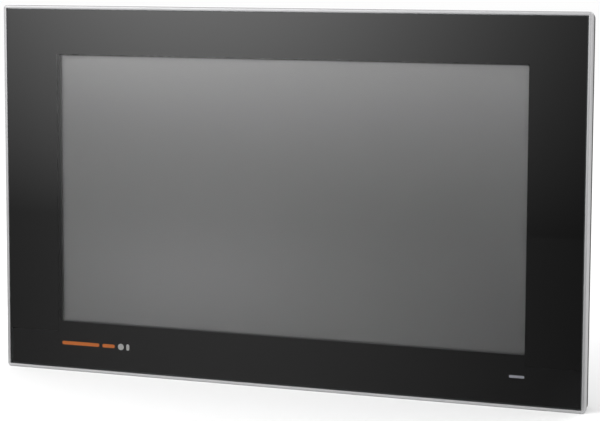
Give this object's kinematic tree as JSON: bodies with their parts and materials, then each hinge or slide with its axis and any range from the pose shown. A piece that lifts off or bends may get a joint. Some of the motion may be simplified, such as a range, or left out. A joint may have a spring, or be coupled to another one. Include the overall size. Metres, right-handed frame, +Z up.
{
  "type": "hmi touch panel",
  "caption": "Flush widescreen operator panel: black-bordered cover glass in a slim aluminium frame, with a shallow rear housing, ports, service door and mounting clamps.",
  "frame": {"origin": "centre of the cabinet cut-out, in the plane of the cabinet panel's front face, where the gasket rests", "axes": "+X to the operator's right, +Y into the cabinet (away from the operator), +Z up"},
  "size_m": [0.431, 0.0527, 0.2662],
  "materials": {
    "bezel_aluminium": "fine brushed, clear anodised",
    "cover_glass": "polished, bonded toughened glass",
    "black_ink": "screen print seen through the glass",
    "sensor_glass": "clear laminate",
    "foam_tape": "closed-cell foam",
    "gasket_rubber": "moulded sealing rubber",
    "light_pipe": "frosted",
    "circuit_board": "green solder mask",
    "plated_sheet": "zinc-plated sheet",
    "display_cell": "anti-glare polariser, display off",
    "flex_film": "polyimide film",
    "heat_aluminium": "extruded",
    "black_plastic": "moulded",
    "screw_steel": "nickel plated",
    "terminal_green": "moulded",
    "housing_coat": "fine textured coating"
  },
  "bodies": {
    "panel": {"battery_cup": "black_plastic", "bezel_frame": "bezel_aluminium", "black_mask": "black_ink", "carrier_plate": "plated_sheet", "clamp_bracket_bottom_1": "plated_sheet", "clamp_bracket_bottom_2": "plated_sheet", "clamp_bracket_bottom_3": "plated_sheet", "clamp_bracket_top_1": "plated_sheet", "clamp_bracket_top_2": "plated_sheet", "clamp_bracket_top_3": "plated_sheet", "coin_battery": "screw_steel", "cover_glass": "cover_glass", "cover_screw_1": "screw_steel", "cover_screw_2": "screw_steel", "cover_screw_3": "screw_steel", "cover_screw_4": "screw_steel", "display_backlight": "plated_sheet", "display_bracket_left": "plated_sheet", "display_bracket_right": "plated_sheet", "display_cable": "black_plastic", "display_cell": "display_cell", "display_front_frame": "plated_sheet", "door_hinge_pin": "screw_steel", "earth_stud": "screw_steel", "ethernet_port_1": "plated_sheet", "ethernet_port_2": "plated_sheet", "glass_adhesive": "foam_tape", "heat_spreader": "heat_aluminium", "housing_screw_1": "screw_steel", "housing_screw_2": "screw_steel", "housing_screw_3": "screw_steel", "housing_screw_4": "screw_steel", "main_board": "circuit_board", "memory_card_socket": "plated_sheet", "panel_gasket": "gasket_rubber", "power_header": "terminal_green", "rear_cover": "housing_coat", "rear_housing": "housing_coat", "serial_port": "plated_sheet", "status_light_board": "circuit_board", "status_light_pipe": "light_pipe", "touch_controller_board": "circuit_board", "touch_flex_tail": "flex_film", "touch_sensor": "sensor_glass", "usb_ports": "plated_sheet"},
    "service_door": {"service_door": "black_plastic"},
    "memory_card": {"memory_card": "black_plastic"},
    "power_plug": {"power_plug": "terminal_green"},
    "clamp_foot_top_1": {"clamp_foot_top_1": "black_plastic"},
    "clamp_screw_top_1": {"clamp_screw_top_1": "screw_steel"},
    "clamp_foot_top_2": {"clamp_foot_top_2": "black_plastic"},
    "clamp_screw_top_2": {"clamp_screw_top_2": "screw_steel"},
    "clamp_foot_top_3": {"clamp_foot_top_3": "black_plastic"},
    "clamp_screw_top_3": {"clamp_screw_top_3": "screw_steel"},
    "clamp_foot_bottom_1": {"clamp_foot_bottom_1": "black_plastic"},
    "clamp_screw_bottom_1": {"clamp_screw_bottom_1": "screw_steel"},
    "clamp_foot_bottom_2": {"clamp_foot_bottom_2": "black_plastic"},
    "clamp_screw_bottom_2": {"clamp_screw_bottom_2": "screw_steel"},
    "clamp_foot_bottom_3": {"clamp_foot_bottom_3": "black_plastic"},
    "clamp_screw_bottom_3": {"clamp_screw_bottom_3": "screw_steel"}
  },
  "joints": [
    {"name": "service_door_hinge", "type": "hinge", "parent": "panel", "child": "service_door", "pos_m": [0.092, 0.03895, -0.0505], "axis": [-1, 0, 0], "range_deg": [0, 110]},
    {"name": "memory_card_slide", "type": "slide", "parent": "panel", "child": "memory_card", "axis": [0, 0, -1], "range_m": [0, 0.034]},
    {"name": "power_plug_slide", "type": "slide", "parent": "panel", "child": "power_plug", "axis": [0, 0, -1], "range_m": [0, 0.016]},
    {"name": "clamp_foot_top_1_slide", "type": "slide", "parent": "panel", "child": "clamp_foot_top_1", "axis": [0, -1, 0], "range_m": [0, 0.006]},
    {"name": "clamp_screw_top_1_turn", "type": "hinge", "parent": "clamp_foot_top_1", "child": "clamp_screw_top_1", "pos_m": [-0.15, 0.033, 0.1294], "axis": [0, -1, 0], "range_deg": [0, 4321]},
    {"name": "clamp_foot_top_2_slide", "type": "slide", "parent": "panel", "child": "clamp_foot_top_2", "axis": [0, -1, 0], "range_m": [0, 0.006]},
    {"name": "clamp_screw_top_2_turn", "type": "hinge", "parent": "clamp_foot_top_2", "child": "clamp_screw_top_2", "pos_m": [0, 0.033, 0.1294], "axis": [0, -1, 0], "range_deg": [0, 4321]},
    {"name": "clamp_foot_top_3_slide", "type": "slide", "parent": "panel", "child": "clamp_foot_top_3", "axis": [0, -1, 0], "range_m": [0, 0.006]},
    {"name": "clamp_screw_top_3_turn", "type": "hinge", "parent": "clamp_foot_top_3", "child": "clamp_screw_top_3", "pos_m": [0.15, 0.033, 0.1294], "axis": [0, -1, 0], "range_deg": [0, 4321]},
    {"name": "clamp_foot_bottom_1_slide", "type": "slide", "parent": "panel", "child": "clamp_foot_bottom_1", "axis": [0, -1, 0], "range_m": [0, 0.006]},
    {"name": "clamp_screw_bottom_1_turn", "type": "hinge", "parent": "clamp_foot_bottom_1", "child": "clamp_screw_bottom_1", "pos_m": [-0.15, 0.033, -0.1294], "axis": [0, -1, 0], "range_deg": [0, 4321]},
    {"name": "clamp_foot_bottom_2_slide", "type": "slide", "parent": "panel", "child": "clamp_foot_bottom_2", "axis": [0, -1, 0], "range_m": [0, 0.006]},
    {"name": "clamp_screw_bottom_2_turn", "type": "hinge", "parent": "clamp_foot_bottom_2", "child": "clamp_screw_bottom_2", "pos_m": [0, 0.033, -0.1294], "axis": [0, -1, 0], "range_deg": [0, 4321]},
    {"name": "clamp_foot_bottom_3_slide", "type": "slide", "parent": "panel", "child": "clamp_foot_bottom_3", "axis": [0, -1, 0], "range_m": [0, 0.006]},
    {"name": "clamp_screw_bottom_3_turn", "type": "hinge", "parent": "clamp_foot_bottom_3", "child": "clamp_screw_bottom_3", "pos_m": [0.15, 0.033, -0.1294], "axis": [0, -1, 0], "range_deg": [0, 4321]}
  ],
  "couplings": [
    {"joint": "clamp_screw_top_1_turn", "follows": "clamp_foot_top_1_slide", "rad_per_m": 12566},
    {"joint": "clamp_screw_top_2_turn", "follows": "clamp_foot_top_2_slide", "rad_per_m": 12566},
    {"joint": "clamp_screw_top_3_turn", "follows": "clamp_foot_top_3_slide", "rad_per_m": 12566},
    {"joint": "clamp_screw_bottom_1_turn", "follows": "clamp_foot_bottom_1_slide", "rad_per_m": 12566},
    {"joint": "clamp_screw_bottom_2_turn", "follows": "clamp_foot_bottom_2_slide", "rad_per_m": 12566},
    {"joint": "clamp_screw_bottom_3_turn", "follows": "clamp_foot_bottom_3_slide", "rad_per_m": 12566}
  ]
}
